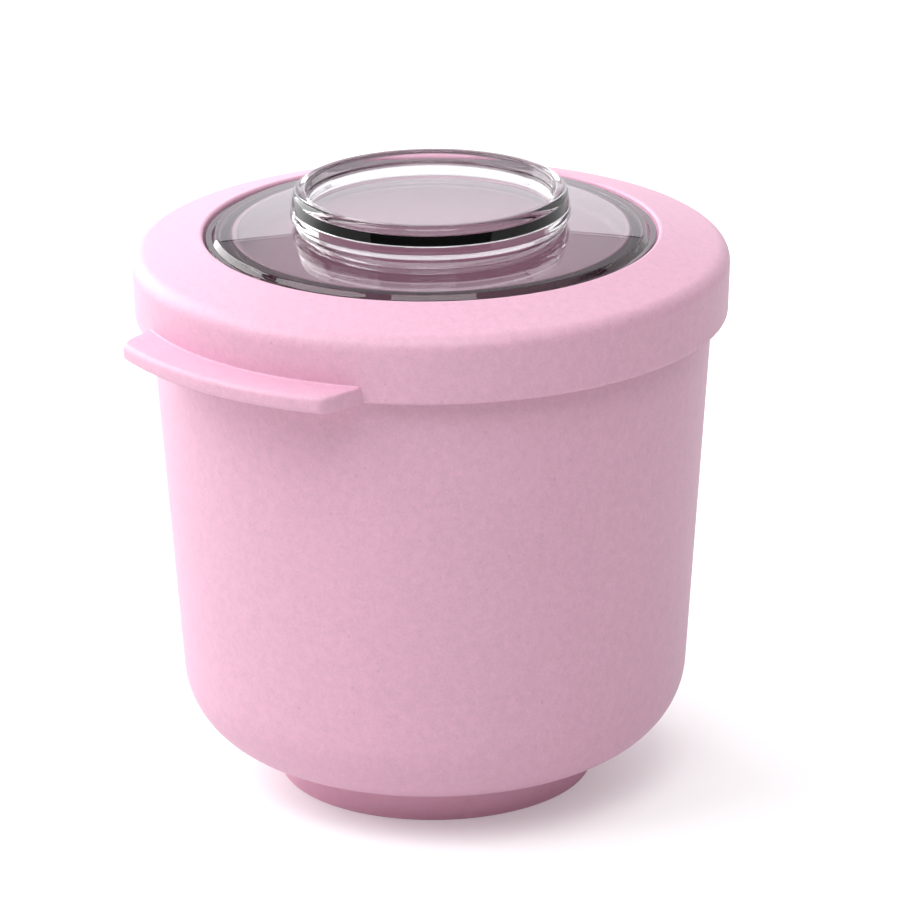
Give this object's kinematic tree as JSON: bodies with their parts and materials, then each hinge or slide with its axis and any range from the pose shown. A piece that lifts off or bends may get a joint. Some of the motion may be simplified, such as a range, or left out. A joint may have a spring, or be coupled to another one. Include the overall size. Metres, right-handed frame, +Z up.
{
  "type": "ice cream maker",
  "caption": "Hand-turned ice cream maker: insulated pot, lift-out freezer bowl, press-on lid with thumb tab, and a clear domed knob that turns a scraping paddle.",
  "frame": {"origin": "centre of the foot ring, on the surface the maker stands on", "axes": "+Z up along the knob's turning axis, -Y towards the lid's thumb tab, +X to the right"},
  "size_m": [0.17, 0.1811, 0.1757],
  "materials": {
    "pink_plastic": "matte",
    "clear_plastic": "polished",
    "mauve_plastic": "satin",
    "pink_soft": "matte",
    "white_plastic": "satin",
    "foam": "matte",
    "soft_seal": "matte",
    "steel": "satin",
    "cup_metal": "satin",
    "gel": "gloss",
    "slip_plastic": "satin",
    "blade_soft": "matte"
  },
  "bodies": {
    "pot": {"outer_shell": "pink_plastic", "insulation_sleeve": "foam", "pot_liner": "white_plastic", "rest_pads": "soft_seal", "base_cover": "pink_plastic", "base_screws": "steel", "foot_ring": "pink_soft"},
    "bowl": {"bowl_shell": "white_plastic", "bowl_cup": "cup_metal", "coolant_gel": "gel", "rim_seal_outer": "soft_seal", "rim_seal_inner": "soft_seal", "bowl_rim": "mauve_plastic", "fill_plug": "white_plastic", "plug_seal": "soft_seal"},
    "lid_ring": {"lid": "pink_plastic", "lid_gasket": "soft_seal", "glide_ring": "slip_plastic"},
    "knob": {"clear_knob": "clear_plastic", "knob_disc": "mauve_plastic", "disc_seal": "soft_seal", "drive_hub": "white_plastic", "hub_screws": "steel", "paddle": "white_plastic", "paddle_pin": "steel", "scraper_right": "blade_soft", "scraper_left": "blade_soft"}
  },
  "joints": [
    {"name": "bowl_lift", "type": "slide", "parent": "pot", "child": "bowl", "axis": [0, 0, 1], "range_m": [0, 0.14]},
    {"name": "lid_lift", "type": "slide", "parent": "bowl", "child": "lid_ring", "axis": [0, 0, 1], "range_m": [0, 0.13]},
    {"name": "knob_turn", "type": "hinge", "parent": "lid_ring", "child": "knob", "pos_m": [0, 0, 0.16], "axis": [0, 0, 1], "continuous": true}
  ]
}
